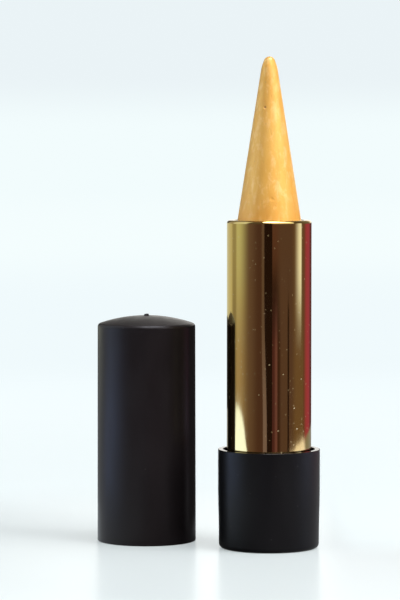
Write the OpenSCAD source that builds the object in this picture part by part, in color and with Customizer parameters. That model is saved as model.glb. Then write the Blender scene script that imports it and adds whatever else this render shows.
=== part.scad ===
// Twist-up kohl stick with its cap off.
// A matte black cup-shaped base carries a mirror-gold tube, the cone of kohl is
// wound fully out of the tube's mouth, and the matte black cap stands mouth
// down beside the stick, to its left and a little behind it.
// Millimetres, +Z up, the front of the stick faces -Y. The origin is the middle
// of the base's underside, on the stick's own axis.

/* [Kohl] */
// Diameter of the moulded kohl where its cup holds it
kohl_d = 12.1; // [12:0.02:12.1]
// Length of the cone that stands out of the tube's mouth
cone_out = 30.8; // [29:0.2:31.4]
// Diameter of the cone where it leaves the tube's mouth
cone_foot_d = 12; // [11.8:0.02:12]
// Half angle of the cone
cone_half_angle = 8.88; // [8.6:0.02:9]
// Radius of the rounded tip
tip_r = 1.1; // [1:0.05:1.2]
// Depth of kohl that stays inside the tube, down to the floor of the cup
kohl_in = 12.2; // [12:0.2:13]

/* [Gold tube] */
// Outer diameter of the gold tube
tube_d = 16; // [16:0.05:16.2]
// Length of the gold tube that shows above the rim of the base
tube_out = 43.4; // [42.4:0.2:44.4]
// Length of the gold tube hidden inside the base
tube_hidden = 9.7; // [9.2:0.1:9.7]
// Wall of the drawn gold tube
tube_wall = 0.35; // [0.3:0.01:0.35]
// Rounding of the tube's rolled lip
lip_round = 0.6; // [0.4:0.05:0.65]
// Radius of the hole in the rolled lip
mouth_r = 6.6; // [6.5:0.05:6.7]

/* [Base] */
// Height of the base
base_h = 18.8; // [18.6:0.1:19.6]
// Diameter of the base near its foot
base_foot_d = 19; // [18.9:0.05:19.1]
// Diameter of the base near its rim
base_rim_d = 19.32; // [19.2:0.02:19.5]
// Rounding of the bottom corner of the base
foot_round = 0.9; // [0.7:0.05:1]
// Radius of the hole that the gold tube turns in
base_bore_r = 8.66; // [8.4:0.02:8.7]
// Radius of the seat that the guide body is pressed into
seat_r = 8.1; // [8.05:0.01:8.15]
// Thickness of the floor of the base
base_floor = 1.9; // [1.7:0.1:2]
// Radius of the blank label let into the underside
label_r = 7.7; // [7:0.1:7.8]

/* [Twist mechanism] */
// Rise of the kohl for one full turn of the tube
lead = 22; // [22:0.5:24]
// Whole travel of the kohl, from wound out to wound in
travel = 33; // [32.6:0.1:33]
// Diameter of the two lugs on the kohl's cup
lug_d = 1.9; // [1.8:0.05:1.9]
// Width of the straight slots that keep the cup from turning
slot_w = 2.1; // [2.05:0.05:2.2]
// Width of the spiral grooves that drive the lugs, square to the groove
groove_w = 2.3; // [2.2:0.05:2.4]
// Outer radius of the kohl's cup
cup_r = 6.4; // [6.38:0.01:6.41]
// Outer radius of the guide body's tube
guide_r = 6.95; // [6.93:0.01:6.96]
// Inner radius of the cam sleeve
cam_r = 7; // [6.99:0.01:7.02]
// Depth of the spiral grooves
groove_depth = 0.4; // [0.36:0.01:0.4]

/* [Cap] */
// Height of the cap, without the moulding nub on its top
cap_h = 43.55; // [43.45:0.05:44.5]
// Outer diameter of the cap at its mouth
cap_mouth_d = 19; // [18.9:0.05:19.2]
// Outer diameter of the cap at its shoulder
cap_top_d = 18.82; // [18.7:0.02:18.9]
// Radius of the shallow dome on the cap
dome_r = 28; // [26:0.5:32]
// Rounding of the cap's shoulder
shoulder_r = 0.75; // [0.6:0.05:0.9]
// Thickness of the cap's dome
cap_top_wall = 1.1; // [1:0.05:1.2]
// Clearance round the gold tube at the gripping land in the cap's mouth
cap_grip_gap = 0.03; // [0.02:0.01:0.04]
// Where the cap stands, to the left of the stick (negative is left)
cap_x = -23.4; // [-26:0.2:-22]
// Where the cap stands, behind the stick
cap_y = 10.4; // [6:0.2:14]

/* [Hidden] */
$fn = 96;

// Heights on the stick, from the surface that it stands on.
mouth_z = base_h + tube_out;         // top of the rolled lip
tip_z = mouth_z + cone_out;          // tip of the kohl, wound out
tube_foot_z = base_h - tube_hidden;  // lower end of the gold tube
cup_floor_z = mouth_z - kohl_in;     // where the kohl stands in its cup
cup_foot_z = cup_floor_z - 1;
cup_rim_z = mouth_z - 2.7;
lug_z = cup_floor_z + 1.5;           // lugs, wound out
lug_low_z = lug_z - travel;          // lugs, wound in
turn = 360 * travel / lead;          // twist from wound out to wound in
thrust_z = tube_foot_z - 0.1;        // shoulder that the cam sleeve runs on
cam_top_z = mouth_z - 1.6;
guide_top_z = mouth_z - 0.7;
collar_z = thrust_z - 1.1;
// Radii of the thin walls, from the kohl outwards.
guide_in_r = cup_r + 0.05;
tube_in_r = tube_d / 2 - tube_wall;
collar_r = seat_r - 0.02;            // the guide body's collar, in its seat
brake_z = thrust_z + 1.2;

// Points of an arc round (x, y), from angle a0 to a1.
function arc(x, y, r, a0, a1, n = 6) =
    [for (i = [0:n]) let (a = a0 + (a1 - a0) * i / n) [x + r * cos(a), y + r * sin(a)]];

// A body of revolution from its half section.
module turned(points) { rotate_extrude() polygon(points); }

// The base: a plain cup with a slightly wider upper half, a rounded bottom
// corner, a flat rim, and a narrower seat low inside for the guide body.
module base_shell() {
    rf = base_foot_d / 2;
    rr = base_rim_d / 2;
    color([0.10, 0.10, 0.11]) {
        turned(concat(
            [[0, 0.35], [label_r + 0.2, 0.35], [label_r + 0.3, 0.25], [label_r + 0.3, 0]],
            arc(rf - foot_round, foot_round, foot_round, -90, 0, 8),
            [[rf + 0.02, 4.2], [rf + 0.25 * (rr - rf), 5.6], [rf + 0.7 * (rr - rf), 8.2],
             [rr - 0.01, 10.6], [rr, base_h - 0.2]],
            arc(rr - 0.12, base_h - 0.12, 0.12, 10, 90, 4),
            arc(base_bore_r + 0.12, base_h - 0.12, 0.12, 90, 180, 4),
            [[base_bore_r - 0.02, collar_z + 0.5], [seat_r, collar_z], [seat_r, base_floor], [0, base_floor]]));
        // Three keys that stop the guide body turning in its seat.
        for (a = [30, 150, 270]) rotate([0, 0, a])
            translate([seat_r - 0.5, -0.5, base_floor - 0.1]) cube([0.8, 1, collar_z - base_floor - 0.9]);
    }
}

// The blank label, stuck in the shallow recess of the underside.
module base_label() {
    color([0.86, 0.84, 0.78])
        translate([0, 0, 0.23]) cylinder(r = label_r, h = 0.12);
}

// The guide body: a collar pressed into the base, the shoulder that the cam
// sleeve turns on, a groove for the brake ring, and a thin slotted tube with a
// snap lip on top that keeps the cam sleeve on it.
module guide_body() {
    color([0.20, 0.20, 0.21])
    difference() {
        turned([
            [0, base_floor], [collar_r - 0.3, base_floor], [collar_r, base_floor + 0.3],
            [collar_r, collar_z - 0.3], [collar_r - 0.3, collar_z],
            [tube_in_r - 0.1, collar_z], [tube_in_r - 0.1, thrust_z], [guide_r, thrust_z],
            [guide_r, brake_z], [guide_r - 0.65, brake_z],
            [guide_r - 0.65, brake_z + 1.1], [guide_r, brake_z + 1.1],
            [guide_r, cam_top_z + 0.1], [guide_r + 0.4, cam_top_z + 0.25],
            [guide_r + 0.4, guide_top_z - 0.2], [guide_r + 0.05, guide_top_z],
            [guide_in_r + 0.15, guide_top_z], [guide_in_r, guide_top_z - 0.15],
            [guide_in_r, brake_z + 4.2], [5.6, brake_z + 3.3],
            [5.6, base_floor + 1.5], [0, base_floor + 1.5]]);
        // Straight slots for the two lugs, with round ends.
        for (a = [0, 180]) rotate([0, 0, a]) {
            translate([6, -slot_w / 2, lug_low_z - 0.3]) cube([1.5, slot_w, travel + 0.6]);
            for (z = [lug_low_z - 0.3, lug_z + 0.3])
                translate([6, 0, z]) rotate([0, 90, 0]) cylinder(d = slot_w, h = 1.5);
        }
        // Places for the three keys of the base.
        for (a = [30, 150, 270]) rotate([0, 0, a])
            translate([seat_r - 0.55, -0.55, base_floor - 1]) cube([1, 1.1, collar_z - base_floor + 0.2]);
        // Drain and vent hole in the floor.
        translate([0, 0, base_floor - 1]) cylinder(r = 1.5, h = 4);
    }
}

// The soft ring that gives the twist its drag, squeezed in its groove.
module brake_ring() {
    r0 = guide_r - 0.65;
    r1 = cam_r - 0.03;
    z0 = brake_z + 0.05;
    color([0.75, 0.30, 0.22])
        turned([[r0, z0 + 0.2], [r0 + 0.2, z0], [r1 - 0.25, z0], [r1, z0 + 0.3],
                [r1, z0 + 0.7], [r1 - 0.25, z0 + 1], [r0 + 0.2, z0 + 1], [r0, z0 + 0.8]]);
}

// The gold tube, drawn from sheet, with its top rolled in to a round lip.
module gold_tube() {
    r = tube_d / 2;
    color([0.83, 0.66, 0.32])
        turned(concat(
            [[tube_in_r, tube_foot_z], [r - 0.08, tube_foot_z], [r, tube_foot_z + 0.08]],
            arc(r - lip_round, mouth_z - lip_round, lip_round, 0, 90, 8),
            arc(mouth_r + 0.2, mouth_z - 0.2, 0.2, 90, 180, 4),
            [[mouth_r, mouth_z - 0.35], [mouth_r + 0.05, mouth_z - 0.4],
             [tube_in_r - 0.25, mouth_z - 0.4], [tube_in_r, mouth_z - 0.65]]));
}

// One spiral groove: a band of rectangular section that climbs by `lead` in
// each turn, given by its angle range. The outer corners are pushed out so
// that the flats between them still clear the lugs.
module spiral_band(a0, a1, r0, r1, half_h) {
    step = 10;
    n = ceil((a1 - a0) / step);
    da = (a1 - a0) / n;
    ro = r1 / cos(da / 2);
    points = [for (i = [0:n]) let (a = a0 + da * i, z = lug_z + lead * a / 360)
        each [[r0 * cos(a), r0 * sin(a), z - half_h], [ro * cos(a), ro * sin(a), z - half_h],
              [ro * cos(a), ro * sin(a), z + half_h], [r0 * cos(a), r0 * sin(a), z + half_h]]];
    sides = [for (i = [0:n - 1], k = [0:3]) let (p = 4 * i + k, q = 4 * i + (k + 1) % 4)
        each [[p, q, q + 4], [p, q + 4, p + 4]]];
    polyhedron(points = points, convexity = 8,
        faces = concat(sides, [[3, 2, 1], [3, 1, 0], [4 * n, 4 * n + 1, 4 * n + 2], [4 * n, 4 * n + 2, 4 * n + 3]]));
}

// The cam sleeve, pressed into the gold tube: two spiral grooves inside it
// push the lugs up and down as the tube is turned.
module cam_sleeve() {
    pitch_angle = atan(lead / (2 * PI * cam_r));
    half_h = groove_w / 2 / cos(pitch_angle);
    over = 360 * 0.3 / lead + asin(lug_d / 2 / cam_r) + 2;
    color([0.88, 0.87, 0.83])
    difference() {
        turned([[cam_r + 0.1, tube_foot_z], [tube_in_r - 0.1, tube_foot_z], [tube_in_r, tube_foot_z + 0.1],
                [tube_in_r, cam_top_z - 0.1], [tube_in_r - 0.1, cam_top_z],
                [cam_r + 0.1, cam_top_z], [cam_r, cam_top_z - 0.1], [cam_r, tube_foot_z + 0.1]]);
        for (s = [0, 180]) rotate([0, 0, s])
            spiral_band(-turn - over, over, cam_r - 0.6, cam_r + groove_depth, half_h);
    }
}

// The cup that carries the kohl, with its two lugs.
module carrier_cup() {
    ri = kohl_d / 2;
    color([0.93, 0.92, 0.89]) {
        turned([[1.2, cup_foot_z], [cup_r - 0.2, cup_foot_z], [cup_r, cup_foot_z + 0.2],
                [cup_r, cup_rim_z - 0.1], [cup_r - 0.1, cup_rim_z], [ri + 0.08, cup_rim_z],
                [ri, cup_rim_z - 0.15], [ri, cup_floor_z], [1.2, cup_floor_z]]);
        for (s = [0, 180]) rotate([0, 0, s])
            translate([ri + 0.1, 0, lug_z]) rotate([0, 90, 0])
                cylinder(d = lug_d, h = cam_r + groove_depth - 0.12 - ri - 0.1);
    }
}

// The kohl: a cylinder in the cup that runs into a long cone with a small
// round tip.
module kohl_stick() {
    rc = cone_foot_d / 2;
    slope = tan(cone_half_angle);
    z_full = mouth_z - (kohl_d / 2 - rc) / slope;
    z_tip = tip_z - 2;
    color([0.93, 0.72, 0.35])
        turned(concat(
            [[0, cup_floor_z], [kohl_d / 2, cup_floor_z], [kohl_d / 2, z_full]],
            [[rc - (z_tip - mouth_z) * slope, z_tip]],
            arc(0, tip_z - tip_r, tip_r, 15, 90, 6)));
}

// The cap: a plain closed tube with a shallow dome, a small moulding nub on
// the dome, and a gripping land just inside the mouth.
module cap_shell() {
    rm = cap_mouth_d / 2;
    rt = cap_top_d / 2;
    dc = cap_h - dome_r;
    fx = rt - shoulder_r;
    fz = dc + sqrt(pow(dome_r - shoulder_r, 2) - fx * fx);
    fa = atan2(fz - dc, fx);
    grip = tube_d / 2 + cap_grip_gap;
    relief = grip + 0.16;
    ri = dome_r - cap_top_wall;
    inner_z = dc + sqrt(ri * ri - pow(relief - 0.45, 2));
    da = asin((rt - shoulder_r + shoulder_r * cos(fa)) / dome_r);
    di = asin((relief - 0.45) / ri);
    color([0.10, 0.10, 0.11])
    translate([cap_x, cap_y, 0]) {
        turned(concat(
            [[grip + 0.35, 0]],
            arc(rm - 0.25, 0.25, 0.25, -90, 0, 4),
            arc(fx, fz, shoulder_r, 0, fa, 8),
            [for (i = [1:7]) let (a = da * (1 - i / 8)) [dome_r * sin(a), dc + dome_r * cos(a)]],
            [[0, cap_h], [0, cap_h - cap_top_wall]],
            [for (i = [1:8]) let (a = di * i / 8) [ri * sin(a), dc + ri * cos(a)]],
            [[relief - 0.03, inner_z - 0.45], [relief, 4.4], [grip, 3.9], [grip, 0.5]]));
        // The nub left where the plastic entered the mould.
        translate([0, 0, cap_h - 0.1]) cylinder(r1 = 0.5, r2 = 0.4, h = 0.45);
    }
}

base_shell();
base_label();
guide_body();
brake_ring();
gold_tube();
cam_sleeve();
carrier_cup();
kohl_stick();
cap_shell();
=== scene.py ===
import math

import bmesh
import bpy
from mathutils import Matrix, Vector, noise


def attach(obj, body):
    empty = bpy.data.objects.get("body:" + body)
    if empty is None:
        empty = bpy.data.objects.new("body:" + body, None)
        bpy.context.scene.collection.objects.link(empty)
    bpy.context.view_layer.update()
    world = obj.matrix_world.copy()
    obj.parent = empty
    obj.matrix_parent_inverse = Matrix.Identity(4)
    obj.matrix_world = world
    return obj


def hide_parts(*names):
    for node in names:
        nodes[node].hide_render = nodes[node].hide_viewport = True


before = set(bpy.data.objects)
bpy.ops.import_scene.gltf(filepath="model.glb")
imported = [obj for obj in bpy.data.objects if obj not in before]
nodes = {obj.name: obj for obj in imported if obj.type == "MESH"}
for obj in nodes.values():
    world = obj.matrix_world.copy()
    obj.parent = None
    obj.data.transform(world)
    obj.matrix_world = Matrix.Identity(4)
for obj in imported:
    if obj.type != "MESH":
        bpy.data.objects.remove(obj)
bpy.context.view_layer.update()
scene = bpy.context.scene
scene.view_settings.view_transform = "Standard"
scene.view_settings.look = "None"

# ---------------------------------------------------------------- sizes, mm
# The same numbers as the construction, from the surface that the stick
# stands on and from its own axis.
BASE_H = 18.8
MOUTH_Z = 62.2
TIP_Z = 93.0
TUBE_FOOT_Z = 9.1
CUP_FLOOR_Z = 50.0
CAP_AT = (-23.4, 10.4)
CAP_H = 43.55


# ---------------------------------------------------------------- mesh tools
def arc(x, y, r, a0, a1, n):
    """Points of an arc round (x, y), from angle a0 to a1 in degrees."""
    out = []
    for i in range(n + 1):
        a = math.radians(a0 + (a1 - a0) * i / n)
        out.append((x + r * math.cos(a), y + r * math.sin(a)))
    return out


def refined(profile, step, hold=0.04):
    """The closed half section with long edges divided, and a point close to
    each of their ends, so that smooth shading stays within the roundings."""
    out = []
    n = len(profile)
    for i in range(n):
        (x0, y0), (x1, y1) = profile[i], profile[(i + 1) % n]
        out.append((x0, y0))
        if x0 < 1e-9 and x1 < 1e-9:
            continue
        length = math.hypot(x1 - x0, y1 - y0)
        if length < 4 * hold:
            continue
        cuts = [hold / length, 1 - hold / length]
        parts = max(1, round((length - 2 * hold) / step))
        cuts += [
            (hold + (length - 2 * hold) * k / parts) / length for k in range(1, parts)
        ]
        for t in sorted(cuts):
            out.append((x0 + (x1 - x0) * t, y0 + (y1 - y0) * t))
    return out


def turned(name, profile, seg, at=(0.0, 0.0), warp=None, sharp=32.0):
    """A closed solid of revolution from its half section in millimetres.
    warp(r, z, angle) gives the point that stands for one on the plain form."""
    bm = bmesh.new()
    rings = []
    for r, z in profile:
        ring = []
        for k in range(1 if r < 1e-6 else seg):
            a = 2 * math.pi * k / seg
            rr, zz = warp(r, z, a) if warp and r >= 1e-6 else (r, z)
            ring.append(
                bm.verts.new(
                    (
                        (at[0] + rr * math.sin(a)) / 1000,
                        (at[1] - rr * math.cos(a)) / 1000,
                        zz / 1000,
                    )
                )
            )
        rings.append(ring)
    for i, a in enumerate(rings):
        b = rings[(i + 1) % len(rings)]
        if len(a) == 1 and len(b) == 1:
            continue
        for k in range(seg):
            q = (k + 1) % seg
            if len(a) == 1:
                bm.faces.new((a[0], b[k], b[q]))
            elif len(b) == 1:
                bm.faces.new((a[k], b[0], a[q]))
            else:
                bm.faces.new((a[k], b[k], b[q], a[q]))
    bmesh.ops.recalc_face_normals(bm, faces=bm.faces)
    mesh = bpy.data.meshes.new(name)
    bm.to_mesh(mesh)
    bm.free()
    for p in mesh.polygons:
        p.use_smooth = True
    mesh.set_sharp_from_angle(angle=math.radians(sharp))
    obj = bpy.data.objects.new(name, mesh)
    scene.collection.objects.link(obj)
    return obj


def wobble(a, z, around, along, seed):
    """Smooth noise on the skin of a round piece, from -1 to 1, that closes on
    itself. around is the number of waves in a turn, along the waves per mm."""
    k = around / (2 * math.pi)
    return noise.noise(
        Vector((k * math.cos(a) + seed, k * math.sin(a) - seed, z * along + 3.7 * seed))
    )


# ---------------------------------------------------------------- materials
class Nodes:
    """Short names for the few node kinds that the materials use."""

    def __init__(self, name):
        self.mat = bpy.data.materials.new(name)
        self.mat.use_nodes = True
        self.tree = self.mat.node_tree
        self.tree.nodes.clear()
        self.out = self.tree.nodes.new("ShaderNodeOutputMaterial")
        self.where = self.tree.nodes.new("ShaderNodeTexCoord").outputs["Object"]

    def node(self, kind, **values):
        n = self.tree.nodes.new(kind)
        for key, v in values.items():
            setattr(n, key, v)
        return n

    def put(self, socket, v):
        if isinstance(v, bpy.types.NodeSocket):
            self.tree.links.new(v, socket)
        else:
            socket.default_value = v

    def scaled(self, x, y, z, turn=(0, 0, 0)):
        n = self.node("ShaderNodeMapping")
        self.put(n.inputs["Vector"], self.where)
        n.inputs["Scale"].default_value = (x, y, z)
        n.inputs["Rotation"].default_value = turn
        return n.outputs["Vector"]

    def noise(self, at, scale, detail=3.0, rough=0.5, warp=0.0):
        n = self.node("ShaderNodeTexNoise")
        self.put(n.inputs["Vector"], at)
        n.inputs["Scale"].default_value = scale
        n.inputs["Detail"].default_value = detail
        n.inputs["Roughness"].default_value = rough
        n.inputs["Distortion"].default_value = warp
        return n.outputs["Fac"]

    def cells(self, at, scale):
        n = self.node("ShaderNodeTexVoronoi")
        self.put(n.inputs["Vector"], at)
        n.inputs["Scale"].default_value = scale
        return n.outputs["Distance"], n.outputs["Color"]

    def math(self, op, a, b=0.0, clamp=False):
        n = self.node("ShaderNodeMath", operation=op, use_clamp=clamp)
        self.put(n.inputs[0], a)
        self.put(n.inputs[1], b)
        return n.outputs[0]

    def range(self, v, a, b, c, d, kind="SMOOTHSTEP"):
        n = self.node("ShaderNodeMapRange", interpolation_type=kind)
        self.put(n.inputs["Value"], v)
        for key, x in (("From Min", a), ("From Max", b), ("To Min", c), ("To Max", d)):
            self.put(n.inputs[key], x)
        return n.outputs["Result"]

    def mix(self, fac, a, b):
        n = self.node("ShaderNodeMix", data_type="RGBA")
        self.put(n.inputs[0], fac)
        self.put(n.inputs[6], (*a, 1) if isinstance(a, tuple) else a)
        self.put(n.inputs[7], (*b, 1) if isinstance(b, tuple) else b)
        return n.outputs[2]

    def bump(self, height, distance, strength=1.0, under=None):
        n = self.node("ShaderNodeBump")
        self.put(n.inputs["Height"], height)
        n.inputs["Distance"].default_value = distance
        n.inputs["Strength"].default_value = strength
        if under is not None:
            self.put(n.inputs["Normal"], under)
        return n.outputs["Normal"]

    def specks(self, scale, size, share, stretch=(1, 1, 1), turn=(0, 0, 0)):
        """Small scattered spots: 1 within size of the middle of some cells.
        share is how many of the cells have one."""
        distance, colour = self.cells(self.scaled(*stretch, turn), scale)
        parts = self.node("ShaderNodeSeparateColor")
        self.put(parts.inputs[0], colour)
        chosen = self.math("LESS_THAN", parts.outputs[0], share)
        near = self.range(distance, size, size * 0.4, 0.0, 1.0)
        return self.math("MULTIPLY", chosen, near)

    def surface(self, **sockets):
        n = self.node("ShaderNodeBsdfPrincipled")
        for key, v in sockets.items():
            self.put(n.inputs[key.replace("_", " ")], v)
        self.tree.links.new(n.outputs[0], self.out.inputs[0])
        return n


def black_plastic(name, seed, base, roughness, rim=None):
    """Matt black moulding: fine spark-eroded grain, faint flow lines from the
    gate, and a little dust and lint that has settled on it. Above the height
    rim the mould's face is polished."""
    m = Nodes(name)
    grain = m.noise(m.scaled(1, 1, 1, (seed, 0, 0)), 9000, 2.0, 0.6)
    coarse = m.noise(m.scaled(1, 1, 0.35, (0, seed, 0)), 420, 3.0, 0.55)
    cloud = m.noise(m.scaled(1, 1, 0.5, (0, 0, seed)), 70, 2.0, 0.5)
    dust = m.specks(900, 0.10, 0.05, turn=(seed, 0.3, 0.1))
    lint = m.specks(260, 0.055, 0.035, (1.6, 1.6, 0.7), (0.2, seed, 0.5))
    dirt = m.math("MAXIMUM", m.math("MULTIPLY", dust, 0.20), m.math("MULTIPLY", lint, 0.34))
    lighter = tuple(min(1, c * 1.45) for c in base)
    tone = m.mix(m.range(cloud, 0.3, 0.7, 0.0, 1.0), base, lighter)
    colour = m.mix(dirt, tone, (0.22, 0.215, 0.21))
    rough = m.math(
        "ADD",
        m.range(coarse, 0.3, 0.7, roughness - 0.035, roughness + 0.035),
        m.math("MULTIPLY", dirt, 0.3),
    )
    if rim:
        parts = m.node("ShaderNodeSeparateXYZ")
        m.put(parts.inputs[0], m.where)
        top = m.range(parts.outputs["Z"], rim - 0.00008, rim, 1.0, 0.32)
        rough = m.math("MULTIPLY", rough, top)
    normal = m.bump(grain, 0.000006, 0.35, m.bump(coarse, 0.00001, 0.25))
    m.surface(
        Base_Color=colour,
        Roughness=rough,
        Normal=normal,
        IOR=1.32,
        Specular_IOR_Level=0.5,
    )
    return m.mat


def gold(name):
    """Bright gold anodising on drawn aluminium: a mirror with very faint
    vertical drawing lines and some dust on it."""
    m = Nodes(name)
    lines = m.noise(m.scaled(1, 1, 0.012), 2600, 3.0, 0.6)
    swell = m.noise(m.scaled(1, 1, 0.22), 160, 2.0, 0.5)
    haze = m.noise(m.scaled(1, 1, 0.6, (0.4, 0, 0)), 240, 4.0, 0.6)
    dust = m.specks(1500, 0.30, 0.15, turn=(0.1, 0.7, 0.2))
    flake = m.specks(700, 0.17, 0.080, (1, 1, 1.4), (0.6, 0.2, 0.9))
    dirt = m.math("MAXIMUM", m.math("MULTIPLY", dust, 0.16), m.math("MULTIPLY", flake, 0.32))
    metal = m.mix(m.range(haze, 0.3, 0.75, 0.0, 1.0), (0.605, 0.428, 0.140), (0.590, 0.425, 0.152))
    colour = m.mix(dirt, metal, (0.80, 0.74, 0.62))
    rough = m.math(
        "ADD",
        m.range(haze, 0.35, 0.8, 0.045, 0.085),
        m.math("MULTIPLY", dirt, 0.75),
    )
    normal = m.bump(lines, 0.0000012, 0.30, m.bump(swell, 0.000012, 0.30))
    m.surface(Base_Color=colour, Metallic=m.math("SUBTRACT", 1.0, dirt), Roughness=rough, Normal=normal)
    return m.mat


def kohl(name):
    """Pearly kohl: pigmented wax with casting streaks, small pits and a satin skin that light enters a little. Painted
    shade darkens the pits, one deep pit on the front, and the cone just above the tube's mouth."""
    m = Nodes(name)
    streak = m.noise(m.scaled(1, 1, 0.16, (0, 0, 0.7)), 1150, 4.0, 0.62, 0.4)
    blotch = m.noise(m.scaled(1, 1, 0.55, (0.3, 0, 0)), 210, 3.0, 0.55)
    fine = m.noise(m.where, 5200, 3.0, 0.6)
    mottle = m.noise(m.scaled(1, 1, 0.45, (0.12, 0.05, 0)), 820, 4.0, 0.62, 0.3)
    pits = m.specks(1500, 0.26, 0.16, (1, 1, 0.8), (0.5, 0.1, 0.4))
    warm, pale = (0.780, 0.395, 0.068), (0.815, 0.445, 0.096)
    tone = m.mix(m.range(blotch, 0.3, 0.7, 0.0, 1.0), warm, pale)
    tone = m.mix(m.range(streak, 0.44, 0.76, 0.0, 0.60), tone, (0.73, 0.335, 0.060))
    tone = m.mix(m.range(mottle, 0.46, 0.68, 0.0, 0.60), tone, (0.92, 0.60, 0.24))
    # painted shade: the pits are coloured darker as well as dented by the bump below
    tone = m.mix(m.math("MULTIPLY", pits, 0.45), tone, (0.60, 0.33, 0.12))
    # painted shade: the cone is coloured darker just above the tube's mouth, most at the mouth itself
    parts = m.node("ShaderNodeSeparateXYZ")
    m.put(parts.inputs[0], m.where)
    tone = m.mix(m.range(parts.outputs["Z"], 0.0622, 0.0690, 0.5, 0.0), tone, (0.70, 0.310, 0.045))
    # painted shade: the small deep pit on the front is coloured near black as well as cut into the cone
    deep_pit_shade = m.node("ShaderNodeVectorMath", operation="DISTANCE")
    m.put(deep_pit_shade.inputs[0], m.where)
    deep_pit_shade.inputs[1].default_value = (-0.00090, -0.00247, 0.0834)
    tone = m.mix(m.range(deep_pit_shade.outputs["Value"], 0.00012, 0.00030, 0.75, 0.0), tone, (0.26, 0.12, 0.045))
    rough = m.range(mottle, 0.3, 0.75, 0.36, 0.48)
    normal = m.bump(
        fine,
        0.00001,
        0.20,
        m.bump(mottle, 0.00003, 0.30, m.bump(pits, 0.00004, -0.5)),
    )
    s = m.surface(
        Base_Color=tone,
        Metallic=0.25,
        Roughness=rough,
        Normal=normal,
        IOR=1.5,
        Subsurface_Weight=0.08,
        Subsurface_Scale=0.0010,
    )
    s.inputs["Subsurface Radius"].default_value = (1.0, 0.55, 0.25)
    return m.mat


def moulded(name, base, shade, roughness, seed, **more):
    """Plain moulded plastic with slight flow marks and a fine tool finish."""
    m = Nodes(name)
    flow = m.noise(m.scaled(1, 1, 0.3, (0, 0, seed)), 240, 3.0, 0.55)
    grain = m.noise(m.where, 6000, 2.0, 0.5)
    colour = m.mix(m.range(flow, 0.3, 0.7, 0.0, 1.0), base, shade)
    rough = m.range(flow, 0.3, 0.7, roughness - 0.05, roughness + 0.06)
    m.surface(
        Base_Color=colour,
        Roughness=rough,
        Normal=m.bump(grain, 0.000006, 0.3, m.bump(flow, 0.00002, 0.3)),
        IOR=1.48,
        **more,
    )
    return m.mat


def paper(name):
    """Blank uncoated label stock: fibres, and a faint yellowing."""
    m = Nodes(name)
    fibre = m.noise(m.scaled(1, 0.25, 1, (0, 0, 0.5)), 5200, 4.0, 0.7, 0.6)
    cross = m.noise(m.scaled(0.25, 1, 1, (0, 0, 0.3)), 4700, 4.0, 0.7, 0.6)
    web = m.math("MAXIMUM", fibre, cross)
    cloud = m.noise(m.where, 260, 2.0, 0.5)
    colour = m.mix(m.range(web, 0.45, 0.75, 0.0, 1.0), (0.80, 0.78, 0.72), (0.70, 0.675, 0.61))
    colour = m.mix(m.range(cloud, 0.4, 0.8, 0.0, 0.35), colour, (0.72, 0.68, 0.56))
    m.surface(
        Base_Color=colour,
        Roughness=m.range(web, 0.4, 0.8, 0.72, 0.88),
        Normal=m.bump(web, 0.00001, 0.5),
        IOR=1.45,
    )
    return m.mat


mat_base = black_plastic("matt_black_base", 0.3, (0.0036, 0.0034, 0.0040), 0.33, 0.01876)
mat_cap = black_plastic("matt_black_cap", 1.1, (0.0076, 0.0057, 0.0064), 0.34)
mat_gold = gold("gold_anodised")
mat_kohl = kohl("kohl_wax")
mat_label = paper("label_paper")
mat_guide = moulded("guide_black", (0.030, 0.030, 0.033), (0.042, 0.042, 0.045), 0.30, 0.2)
mat_cam = moulded("cam_natural", (0.74, 0.73, 0.67), (0.79, 0.78, 0.73), 0.30, 0.8,
                  Subsurface_Weight=0.1, Subsurface_Scale=0.001)
mat_cup = moulded("cup_ivory", (0.80, 0.79, 0.74), (0.84, 0.83, 0.80), 0.28, 1.4,
                  Subsurface_Weight=0.1, Subsurface_Scale=0.001)
mat_ring = moulded("brake_silicone", (0.42, 0.11, 0.07), (0.48, 0.14, 0.09), 0.42, 2.0,
                   Subsurface_Weight=0.1, Subsurface_Scale=0.0008)


def finish_piece(obj, body, material, slot, *stands_for):
    obj.data.materials.clear()
    obj.data.materials.append(material)
    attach(obj, body)
    if stands_for:
        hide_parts(*stands_for)
    return obj


# ---------------------------------------------------------------- the base
base_profile = (
    [(0, 0.35), (7.82, 0.35)]
    + arc(7.82, 0.27, 0.08, 90, 45, 3)[1:]
    + [(7.98, 0.17), (8.0, 0.06)]
    + arc(8.06, 0.06, 0.06, 180, 270, 4)[1:]
    + arc(8.6, 0.9, 0.9, -90, 0, 20)
    + [(9.52, 4.2), (9.54, 5.6), (9.612, 8.2), (9.65, 10.6), (9.66, 18.6)]
    + arc(9.54, 18.68, 0.12, 0, 90, 8)[1:]
    + arc(8.78, 18.68, 0.12, 90, 180, 8)
    + [(8.64, 8.4), (8.1, 7.9), (8.1, 1.9), (0, 1.9)]
)
base = turned("base_case", refined(base_profile, 1.2), 256)
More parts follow.
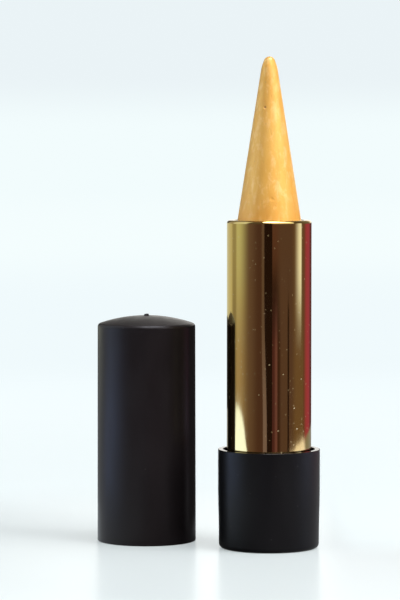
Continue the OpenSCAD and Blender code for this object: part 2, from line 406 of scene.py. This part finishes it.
# Three keys inside the seat, that stop the guide body turning.
keys = bpy.data.meshes.new("seat_keys")
bm = bmesh.new()
for turn in (30, 150, 270):
    a = math.radians(turn)
    made = bmesh.ops.create_cube(bm, size=1.0)["verts"]
    for v in made:
        x = (7.6 + 0.8 * (v.co.x + 0.5)) / 1000
        y = v.co.y / 1000
        v.co = Vector(
            (
                x * math.cos(a) - y * math.sin(a),
                x * math.sin(a) + y * math.cos(a),
                (1.8 + 5.1 * (v.co.z + 0.5)) / 1000,
            )
        )
bm.to_mesh(keys)
bm.free()
keys_obj = bpy.data.objects.new("seat_keys", keys)
scene.collection.objects.link(keys_obj)
cut = base.modifiers.new("keys", "BOOLEAN")
cut.operation, cut.solver, cut.object = "UNION", "EXACT", keys_obj
bpy.context.view_layer.update()
joined = bpy.data.meshes.new_from_object(base.evaluated_get(bpy.context.evaluated_depsgraph_get()))
base.modifiers.clear()
base.data = joined
joined.name = "base_case"
bpy.data.objects.remove(keys_obj)
for p in joined.polygons:
    p.use_smooth = True
joined.set_sharp_from_angle(angle=math.radians(32))
finish_piece(base, "base", mat_base, "black_plastic", "base_shell")

# ---------------------------------------------------------------- the label
label_profile = (
    [(0, 0.35), (0, 0.232)]
    + [(7.55, 0.230)]
    + arc(7.65, 0.28, 0.05, -90, 0, 4)
    + [(7.70, 0.35)]
)
label = turned("shade_label", refined(label_profile, 0.8, 0.02), 160)
finish_piece(label, "base", mat_label, "label_paper", "base_label")

# ---------------------------------------------------------------- the tube
tube_profile = (
    [(7.65, TUBE_FOOT_Z), (7.92, TUBE_FOOT_Z), (8.0, TUBE_FOOT_Z + 0.08)]
    + arc(7.4, MOUTH_Z - 0.6, 0.6, 0, 90, 24)
    + arc(6.8, MOUTH_Z - 0.2, 0.2, 90, 180, 10)
    + [(6.6, MOUTH_Z - 0.33)]
    + arc(6.65, MOUTH_Z - 0.35, 0.05, 180, 270, 3)
    + [(7.40, MOUTH_Z - 0.40)]
    + arc(7.40, MOUTH_Z - 0.65, 0.25, 90, 0, 6)[1:]
)
tube = turned("gold_tube_skin", refined(tube_profile, 2.0), 384)
finish_piece(tube, "tube", mat_gold, "gold_metal", "gold_tube")


# ---------------------------------------------------------------- the kohl
def kohl_skin(r, z, a):
    """Casting marks on the cone: shallow upright streaks, soft hollows where
    the wax shrank, and pits. Nothing inside the tube's mouth moves."""
    if z < MOUTH_Z + 0.15:
        return r, z
    rise = min(1.0, (z - MOUTH_Z - 0.15) / 1.5)
    fade = rise * min(1.0, r / 2.2)
    streak = wobble(a, z, 34, 0.10, 1.3) + 0.5 * wobble(a, z, 70, 0.22, 4.1)
    hollow = wobble(a, z, 9, 0.28, 7.7)
    grain = wobble(a, z, 60, 1.6, 9.2)
    pit = max(0.0, wobble(a, z, 44, 1.15, 12.5) - 0.42)
    shift = -0.012 * max(0.0, streak) - 0.016 * max(0.0, hollow)
    shift += -0.006 * max(0.0, grain) - 0.11 * pit
    # one small deep pit on the front, to the left of the middle
    near = math.hypot((a + math.radians(20)) * 2.68 if a < math.pi
                      else (a - 2 * math.pi + math.radians(20)) * 2.68, z - 83.4)
    if near < 0.3:
        shift -= 0.16 * (1 - (near / 0.3) ** 2)
    return r + fade * shift, z


z_full = MOUTH_Z - 0.05 / math.tan(math.radians(8.88))
slope = math.tan(math.radians(8.88))
z_tip = TIP_Z - 2.0
kohl_profile = (
    [(0, CUP_FLOOR_Z), (6.05, CUP_FLOOR_Z), (6.05, z_full)]
    + [(6.0 - (z - MOUTH_Z) * slope, z) for z in
       [MOUTH_Z + 0.16 + (z_tip - MOUTH_Z - 0.16) * k / 150 for k in range(150)]]
    + [(6.0 - (z_tip - MOUTH_Z) * slope, z_tip)]
    + [(1.285, TIP_Z - 1.42)]
    + arc(0, TIP_Z - 1.1, 1.1, 2, 90, 14)
)
# the tip: the cone's side runs smoothly into the small round end
tip_start = TIP_Z - 2.6
kohl_profile = [p for p in kohl_profile if p[1] <= tip_start or p[0] < 1e-9 and p[1] < 60]
r0 = 6.0 - (tip_start - MOUTH_Z) * slope
for k in range(1, 15):
    t = k / 15
    # a cubic from the cone's side to the round end, tangent to both
    a_end = math.radians(20)
    p0, p3 = (r0, tip_start), (1.1 * math.cos(a_end), TIP_Z - 1.1 + 1.1 * math.sin(a_end))
    p1 = (p0[0] - 0.75 * math.sin(math.radians(8.88)), p0[1] + 0.75 * math.cos(math.radians(8.88)))
    p2 = (p3[0] + 0.35 * math.sin(a_end), p3[1] - 0.35 * math.cos(a_end))
    b = ((1 - t) ** 3, 3 * t * (1 - t) ** 2, 3 * t * t * (1 - t), t ** 3)
    kohl_profile.append(
        tuple(b[0] * p0[i] + b[1] * p1[i] + b[2] * p2[i] + b[3] * p3[i] for i in (0, 1))
    )
kohl_profile += arc(0, TIP_Z - 1.1, 1.1, 20, 90, 12)
kohl_profile[-1] = (0, TIP_Z)
stick = turned("kohl_cone", refined(kohl_profile, 0.8, 0.03), 300, warp=kohl_skin, sharp=60)
finish_piece(stick, "carrier", mat_kohl, "kohl", "kohl_stick")


# ---------------------------------------------------------------- the cap
def cap_skin(r, z, a):
    """The gate's broken stub on the dome isn't quite round or level."""
    if z > CAP_H - 0.2 and r < 0.62:
        up = max(0.0, z - CAP_H)
        lean = 0.22 * math.sin(a) + 0.12 * math.cos(2 * a + 0.6)
        return r * (1 + 0.10 * math.cos(2 * a + 1.1)), z - 0.30 * up * (0.5 - lean)
    return r, z


dome_c = CAP_H - 28.0
fx = 9.41 - 0.75
fz = dome_c + math.sqrt((28.0 - 0.75) ** 2 - fx * fx)
fa = math.degrees(math.atan2(fz - dome_c, fx))
da = math.degrees(math.asin((fx + 0.75 * math.cos(math.radians(fa))) / 28.0))
inner_z = dome_c + math.sqrt(26.9 ** 2 - (8.19 - 0.45) ** 2)
di = math.degrees(math.asin((8.19 - 0.45) / 26.9))


def dome(r, lift=0.0):
    return (r, dome_c + math.sqrt(28.0 ** 2 - r * r) + lift)


cap_profile = (
    [(8.38, 0)]
    + arc(9.25, 0.25, 0.25, -90, 0, 8)
    + arc(fx, fz, 0.75, 0, fa, 18)
    + [dome(28.0 * math.sin(math.radians(da * (1 - i / 16)))) for i in range(1, 15)]
    + [dome(0.86), dome(0.72, -0.02), dome(0.60, -0.03), dome(0.52, 0.0)]
    + [(0.485, CAP_H + 0.10), (0.46, CAP_H + 0.22), (0.42, CAP_H + 0.31), (0.33, CAP_H + 0.35),
       (0.16, CAP_H + 0.345), (0, CAP_H + 0.35)]
    + [(0, CAP_H - 1.1)]
    + [(26.9 * math.sin(math.radians(di * i / 16)), dome_c + 26.9 * math.cos(math.radians(di * i / 16)))
       for i in range(1, 17)]
    + arc(8.16 - 0.42, inner_z - 0.42, 0.42, 70, 0, 6)[1:]
    + [(8.19, 4.4), (8.03, 3.9), (8.03, 0.5)]
)
cap = turned("cap_case", refined(cap_profile, 2.5), 256, CAP_AT, cap_skin)
finish_piece(cap, "cap", mat_cap, "cap_plastic", "cap_shell")

# ------------------------------------------------- the pieces kept from CAD
for name, material, slot in (
    ("guide_body", mat_guide, "guide_plastic"),
    ("brake_ring", mat_ring, "brake_rubber"),
    ("cam_sleeve", mat_cam, "cam_plastic"),
    ("carrier_cup", mat_cup, "cup_plastic"),
):
    obj = nodes[name]
    obj.data.materials.clear()
    obj.data.materials.append(material)


# ---------------------------------------------------------------- the stage
def emitting(name, colour, strength=1.0):
    m = Nodes(name)
    e = m.node("ShaderNodeEmission")
    e.inputs["Color"].default_value = (*colour, 1)
    e.inputs["Strength"].default_value = strength
    m.tree.links.new(e.outputs[0], m.out.inputs[0])
    return m.mat


def emitting_painted(name):
    m = Nodes(name)
    e = m.node("ShaderNodeEmission")
    tint = m.node("ShaderNodeVertexColor", layer_name="tint")
    m.put(e.inputs["Color"], tint.outputs["Color"])
    m.tree.links.new(e.outputs[0], m.out.inputs[0])
    return m.mat


def only_reflected(obj, diffuse=False):
    obj.visible_camera = False
    obj.visible_shadow = False
    obj.visible_diffuse = diffuse
    obj.visible_transmission = False
    obj.visible_volume_scatter = False


def mesh_object(name, verts, faces, material):
    mesh = bpy.data.meshes.new(name)
    mesh.from_pydata(verts, [], faces)
    mesh.materials.append(material)
    obj = bpy.data.objects.new(name, mesh)
    scene.collection.objects.link(obj)
    return obj


def smooth(v, a, b):
    t = min(1.0, max(0.0, (v - a) / (b - a)))
    return t * t * (3 - 2 * t)


def between(t, a, b):
    return tuple(x + (y - x) * t for x, y in zip(a, b))


def card(name, a0, a1, z0, z1, radius, colour, far=None):
    """An upright curved card round the stick, seen in reflections only.
    Angles are in degrees from the front, positive to the right, and either
    one may be a function of height; heights and radius are in metres, and
    the radius may run on to another one. colour is one colour, or a function
    of angle and height."""
    plain = isinstance(colour, tuple)
    straight = not callable(a0) and not callable(a1)
    across = max(2, int(abs(a1 - a0) / 2)) if straight else 8
    up = 1 if plain and straight else 80
    verts, faces, where = [], [], []
    for i in range(across + 1):
        for k in range(up + 1):
            z = z0 + (z1 - z0) * k / up
            p, q = (a(z) if callable(a) else a for a in (a0, a1))
            turn = p + (q - p) * i / across
            r = radius if far is None else radius + (far - radius) * i / across
            verts.append((r * math.sin(math.radians(turn)), -r * math.cos(math.radians(turn)), z))
            where.append((turn, z))
    for i in range(across):
        for k in range(up):
            n = i * (up + 1) + k
            faces.append((n, n + 1, n + up + 2, n + up + 1))
    material = emitting(name, colour) if plain else emitting_painted(name)
    obj = mesh_object(name, verts, faces, material)
    if not plain:
        tint = obj.data.color_attributes.new("tint", "FLOAT_COLOR", "POINT")
        for n, (turn, z) in enumerate(where):
            tint.data[n].color = (*colour(turn, z), 1)
    only_reflected(obj)
    return obj


PALE = (0.888, 0.973, 0.982)
BROWN = (0.140, 0.088, 0.100)


# Cards round the stick give the mirror-bright tube its upright stripes: brown
# in front, a black flag in the middle, a white board to the left, a strip of
# light and a red card to the right, and pale backdrops behind.
def left_side(a, z):
    up = smooth(z, -0.055, 0.020)
    lit = between(up, (0.54, 0.47, 0.43), (0.77, 0.89, 0.76))
    dim = between(up, (0.33, 0.30, 0.24), (0.48, 0.48, 0.37))
    brown = between(smooth(a, -28, -60), (0.105, 0.058, 0.064), (0.19, 0.135, 0.15))
    if a > -98:
        tone = between(smooth(a, -54, -94), brown, lit)
    elif a > -114:
        tone = between(smooth(a, -98, -107), lit, dim)
    else:
        tone = between(smooth(a, -115, -128), dim, (0.79, 0.82, 0.64))
    return between(smooth(z, 0.05, 0.12), tone, above(a, z))


def right_side(a, z):
    low = between(smooth(a, 60, 80), BROWN, (0.215, 0.145, 0.125))
    glow = smooth(a, 70, 94) * smooth(a, 98.5, 96.5) * smooth(z, -0.042, -0.002)
    return between(glow, low, (1.36, 1.60, 2.40))


def red_brown(a, z):
    high, low = smooth(z, -0.002, 0.022), smooth(z, -0.006, -0.028)
    line = smooth(a, 12, 17) * smooth(a, 22.5, 19.5)
    dark = between(line, between(smooth(a, 14, 24), (0.105, 0.040, 0.062), (0.066, 0.033, 0.030)), (0.22, 0.105, 0.165))
    mid = (0.034, 0.019, 0.022)
    near = between(high, between(low, mid, dark), (0.150, 0.075, 0.080))
    return between(smooth(a, between(low, (15,), (25,))[0], 33), near, BROWN)


def red(a, z):
    tone = between(smooth(a, 104, 121), (0.19, 0.105, 0.10), (0.49, 0.080, 0.175))
    return between(smooth(a, 130, 152), tone, (0.13, 0.048, 0.052))


def above(a, z):
    high = smooth(z, 0.15, 0.75)
    horizon = between(high, (1.55, 1.52, 1.43), (0.45, 0.43, 0.40))
    tone = between(smooth(a, -58, -72), (0.13, 0.105, 0.095), (1.00, 1.16, 1.36))
    tone = between(smooth(a, -112, -122), tone, (0.50, 0.50, 0.48))
    tone = between(smooth(a, -142, -154), tone, (0.10, 0.10, 0.09))
    tone = between(smooth(a, -168, -180), tone, horizon)
    tone = between(smooth(a, 100, 120), tone, (0.22, 0.20, 0.18))
    return between(smooth(a, 136, 166), tone, horizon)


card("left_side", -184, -12, -1.0, 0.34, 1.20, left_side)
card("right_side", -13, 112, -1.0, 0.34, 1.20, right_side)
card(
    "right_back", 112, 180, -1.0, 0.34, 1.20,
    lambda a, z: between(smooth(z, 0.05, 0.12), (0.095, 0.085, 0.080), above(a, z)),
)
card("red_brown", 5, 34, -0.9, 0.30, 1.00, red_brown)
card("dark_post", 50.0, 55.0, -1.0, -0.008, 1.0, (0.036, 0.020, 0.018))
card(
    "flag_edge", lambda z: -21.5 + 4.0 * smooth(z, -0.02, -0.06), -5.0, -0.9, 0.30, 0.94,
    lambda a, z: between(smooth(z, 0.0, -0.060), (0.165, 0.120, 0.145), (0.27, 0.22, 0.36)),
)
card("black_flag", lambda z: -14.5 + 7.5 * smooth(z, -0.002, -0.070), 7.0, -0.9, 0.30, 0.93, (0.024, 0.013, 0.015))
card("red_card", 104, 175, -0.001, 0.060, 0.214, red, 0.262)
card("low_flag", -184, -153, -0.0002, 0.0265, 0.30, (0.035, 0.030, 0.028))
card("upper_ring", -180, 180, 0.34, 1.9, 1.22, above)

# A dark sheet close behind the stick, edge on to the front and seen in reflections only, is a painted dark reflection
# that keeps the right edge of the cap dark in place of shade. The stick itself hides it from the tube's visible side.
painted_dark_reflection = mesh_object(
    "painted_dark_reflection",
    [(-0.003, 0.012, 0.0004), (-0.003, 0.054, 0.0004), (-0.003, 0.054, 0.046), (-0.003, 0.012, 0.046)],
    [(0, 1, 2, 3)],
    emitting("painted_dark_reflection", (0.050, 0.048, 0.046)),
)
only_reflected(painted_dark_reflection)


def canopy(name, rows, radius, colour):
    """A patch of a sphere round the stick, seen in reflections only. Each row
    has its height in degrees and the angles where it starts and ends."""
    across = 24
    verts, faces, where = [], [], []
    for up, a0, a1 in rows:
        for i in range(across + 1):
            e, a = math.radians(up), math.radians(a0 + (a1 - a0) * i / across)
            verts.append((radius * math.cos(e) * math.sin(a), -radius * math.cos(e) * math.cos(a), radius * math.sin(e)))
            where.append(up)
    for k in range(len(rows) - 1):
        for i in range(across):
            n = k * (across + 1) + i
            faces.append((n, n + 1, n + across + 2, n + across + 1))
    obj = mesh_object(name, verts, faces, emitting_painted(name))
    tint = obj.data.color_attributes.new("tint", "FLOAT_COLOR", "POINT")
    for n, up in enumerate(where):
        tint.data[n].color = (*colour(up), 1)
    only_reflected(obj)


# A dark ceiling, and under it the soft box that leans in from the right.
ceiling = mesh_object(
    "ceiling",
    [(-1.3, -1.3, 1.9), (1.3, -1.3, 1.9), (1.3, 1.3, 1.9), (-1.3, 1.3, 1.9)],
    [(0, 1, 2, 3)],
    emitting("ceiling_dim", (0.24, 0.19, 0.16)),
)
only_reflected(ceiling)
canopy(
    "soft_box",
    [(15, 14, 66), (20, 9, 70), (28, 4, 74), (36, -3, 79), (45, -12, 84), (55, -20, 88),
     (65, -30, 92), (74, -44, 96), (82, -60, 100), (98, -60, 30), (106, -50, 5)],
    1.0,
    lambda up: between(smooth(up, 42, 72), (1.25, 1.25, 1.25), (8.6, 8.8, 9.6)),
)

# The floor that everything stands on. Besides taking the lamps' light it glows in part: a painted light that is
# brightest near the stick and lightens the shadows there. Far out it runs into the pale background without a line.
m = Nodes("floor_white")
length = m.node("ShaderNodeVectorMath", operation="LENGTH")
m.put(length.inputs[0], m.where)
away = length.outputs["Value"]
near_bsdf = m.node("ShaderNodeBsdfDiffuse")
near_bsdf.inputs["Color"].default_value = (0.785, 0.845, 0.868, 1)
gloss = m.node("ShaderNodeBsdfGlossy")
gloss.inputs["Color"].default_value = (0.97, 0.98, 1.0, 1)
gloss.inputs["Roughness"].default_value = 0.25
with_gloss = m.node("ShaderNodeMixShader")
spot = m.node("ShaderNodeSeparateXYZ")
m.put(spot.inputs[0], m.where)
dull = m.math("MULTIPLY", m.range(spot.outputs["X"], 0.009, 0.018, 0.0, 1.0), m.range(spot.outputs["Y"], -0.016, 0.014, 0.0, 1.0))
gloss_share = m.math("MULTIPLY", m.range(away, 0.06, 0.12, 0.33, 0.0), m.math("SUBTRACT", 1.0, dull))
m.put(with_gloss.inputs[0], gloss_share)
m.put(with_gloss.inputs[1], near_bsdf.outputs[0])
m.put(with_gloss.inputs[2], gloss.outputs[0])
# painted light: the floor's glow, brighter near the stick; near it a share of this glow is mixed over the lit floor
far = m.node("ShaderNodeEmission")
ground = m.mix(m.range(away, 0.12, 0.50, 0.0, 1.0), (0.985, 1.065, 1.078), (0.872, 0.955, 0.978))
ground = m.mix(m.range(away, 0.80, 1.60, 0.0, 1.0), ground, (0.905, 0.985, 0.990))
m.put(far.inputs["Color"], m.mix(m.range(away, 1.8, 4.2, 0.0, 1.0), ground, PALE))
blend = m.node("ShaderNodeMixShader")
m.put(blend.inputs[0], m.range(away, 0.03, 0.40, 0.29, 1.0))
m.put(blend.inputs[1], with_gloss.outputs[0])
m.put(blend.inputs[2], far.outputs[0])
m.tree.links.new(blend.outputs[0], m.out.inputs[0])

rim = [(9.0 * math.cos(2 * math.pi * k / 96), 9.0 * math.sin(2 * math.pi * k / 96), 0) for k in range(96)]
floor = mesh_object("floor", [(0, 0, 0)] + rim, [(0, 1 + k, 1 + (k + 1) % 96) for k in range(96)], m.mat)
floor.visible_glossy = False
floor.visible_diffuse = False

# What the object sees in its place: a white sheet that ends a hand's breadth in front of the stick, on a dark table.
# The sheet only glows, and its light and shade are painted: dim near the stick but lighter to its left, brightest to
# the far left, bright to the right, with painted shade in front of the base and a painted shadow between the cap and
# the base.
m = Nodes("sheet_lit")
parts = m.node("ShaderNodeSeparateXYZ")
m.put(parts.inputs[0], m.where)
along = parts.outputs["X"]
# painted light: the sheet's glow, brightest to the far left and bright to the right
bright = m.math("MULTIPLY", m.range(along, -0.10, -0.175, 0.0, 1.0), m.range(parts.outputs["Y"], 0.04, 0.10, 1.0, 0.0))
tone = m.mix(bright, (0.36, 0.38, 0.39), (1.75, 2.35, 4.20))
glow = m.math("MULTIPLY", m.range(along, 0.10, 0.17, 0.0, 1.0), m.range(parts.outputs["Y"], 0.05, 0.10, 1.0, 0.0))
tone = m.mix(glow, tone, (1.55, 1.62, 2.25))
depth = parts.outputs["Y"]
middle = m.node("ShaderNodeVectorMath", operation="LENGTH")
m.put(middle.inputs[0], m.where)
near = m.range(middle.outputs["Value"], 0.080, 0.120, 1.0, 0.0)
# painted light: the sheet is lighter near the stick on its left side
tone = m.mix(m.math("MULTIPLY", near, m.range(along, -0.022, -0.034, 0.0, 1.0)), tone, (0.66, 0.72, 0.76))
# painted shade: a dark strip on the sheet straight in front of the base, near the stick
front = m.math("MULTIPLY", m.range(m.math("ABSOLUTE", along), 0.015, 0.040, 1.0, 0.0), m.range(depth, 0.0, -0.015, 0.0, 1.0))
tone = m.mix(m.math("MULTIPLY", near, front), tone, (0.20, 0.20, 0.21))
# painted shadow: the sheet is made near black on the floor between the cap and the base
painted_shadow_gap = m.node("ShaderNodeVectorMath", operation="DISTANCE")
m.put(painted_shadow_gap.inputs[0], m.where)
painted_shadow_gap.inputs[1].default_value = (-0.0115, 0.0045, 0)
tone = m.mix(m.range(painted_shadow_gap.outputs["Value"], 0.011, 0.024, 0.9, 0.0), tone, (0.03, 0.03, 0.03))
lit = m.node("ShaderNodeEmission")
m.put(lit.inputs["Color"], tone)
m.tree.links.new(lit.outputs[0], m.out.inputs[0])
sheet = mesh_object(
    "sheet",
    [(-0.175, -0.088, -0.0003), (0.155, -0.100, -0.0003), (0.203, -0.040, -0.0003),
     (0.214, 0.020, -0.0003), (0.214, 0.60, -0.0003), (-0.315, 0.60, -0.0003),
     (-0.315, 0.00, -0.0003), (-0.285, -0.052, -0.0003), (-0.245, -0.078, -0.0003)],
    [(0, 1, 2, 3, 4, 5, 6, 7, 8)],
    m.mat,
)
only_reflected(sheet, True)
table = mesh_object(
    "table",
    [(-1.3, -1.3, -0.13), (1.3, -1.3, -0.13), (1.3, 1.3, -0.13), (-1.3, 1.3, -0.13)],
    [(0, 1, 2, 3)],
    emitting("table_dark", (0.10, 0.065, 0.060)),
)
only_reflected(table, True)

# Pale all round, a little greyer above the height of the stick.
world = bpy.data.worlds.new("pale_studio")
world.use_nodes = True
scene.world = world
tree = world.node_tree
sky = tree.nodes["Background"]
up = tree.nodes.new("ShaderNodeTexCoord")
parts = tree.nodes.new("ShaderNodeSeparateXYZ")
fade = tree.nodes.new("ShaderNodeMapRange")
fade.interpolation_type = "SMOOTHSTEP"
fade.inputs["From Min"].default_value, fade.inputs["From Max"].default_value = 0.003, 0.022
tone = tree.nodes.new("ShaderNodeMix")
tone.data_type = "RGBA"
tone.inputs[6].default_value = (*PALE, 1)
tone.inputs[7].default_value = (0.826, 0.898, 0.925, 1)
tree.links.new(up.outputs["Generated"], parts.inputs[0])
tree.links.new(parts.outputs["Z"], fade.inputs["Value"])
tree.links.new(fade.outputs["Result"], tone.inputs[0])
tree.links.new(tone.outputs[2], sky.inputs["Color"])
sky.inputs["Strength"].default_value = 1.0
world.cycles_visibility.diffuse = False


def lamp(name, a, height, distance, wide, high, watts, colour, shadow=True):
    """A soft rectangular light aimed at the middle of the group."""
    light = bpy.data.lights.new(name, "AREA")
    light.shape, light.size, light.size_y = "RECTANGLE", wide, high
    light.energy, light.color, light.use_shadow = watts, colour, shadow
    obj = bpy.data.objects.new(name, light)
    scene.collection.objects.link(obj)
    a = math.radians(a)
    obj.location = (distance * math.sin(a) - 0.01, -distance * math.cos(a), height)
    aim = Vector((-0.01, 0.0, 0.035)) - obj.location
    obj.rotation_euler = aim.to_track_quat("-Z", "Y").to_euler()
    obj.visible_glossy = False
    return obj


# A wide low key from the right, soft front and left fill, and an overhead.
lamp("key", 61, 0.34, 0.80, 0.60, 0.34, 9.0, (1.0, 0.995, 0.97))
lamp("front", -10, 0.50, 1.15, 0.80, 0.60, 2.6, (1.0, 1.0, 0.98))
lamp("left", -78, 0.22, 0.95, 1.10, 0.34, 4.6, (0.82, 1.0, 1.0), False)
lamp("overhead", 62, 1.50, 0.26, 1.8, 1.8, 21.5, (0.985, 1.0, 1.0))

# ---------------------------------------------------------------- camera
cam = bpy.data.cameras.new("camera")
cam.sensor_width, cam.lens = 36.0, 180.0
cam.clip_start, cam.clip_end = 0.05, 40.0
camera = bpy.data.objects.new("camera", cam)
camera.location = (-0.013084, -0.566871, 0.0772845)
camera.rotation_euler = (math.radians(90 - 3.0529), 0, 0)
scene.collection.objects.link(camera)
scene.camera = camera

bpy.context.view_layer.update()
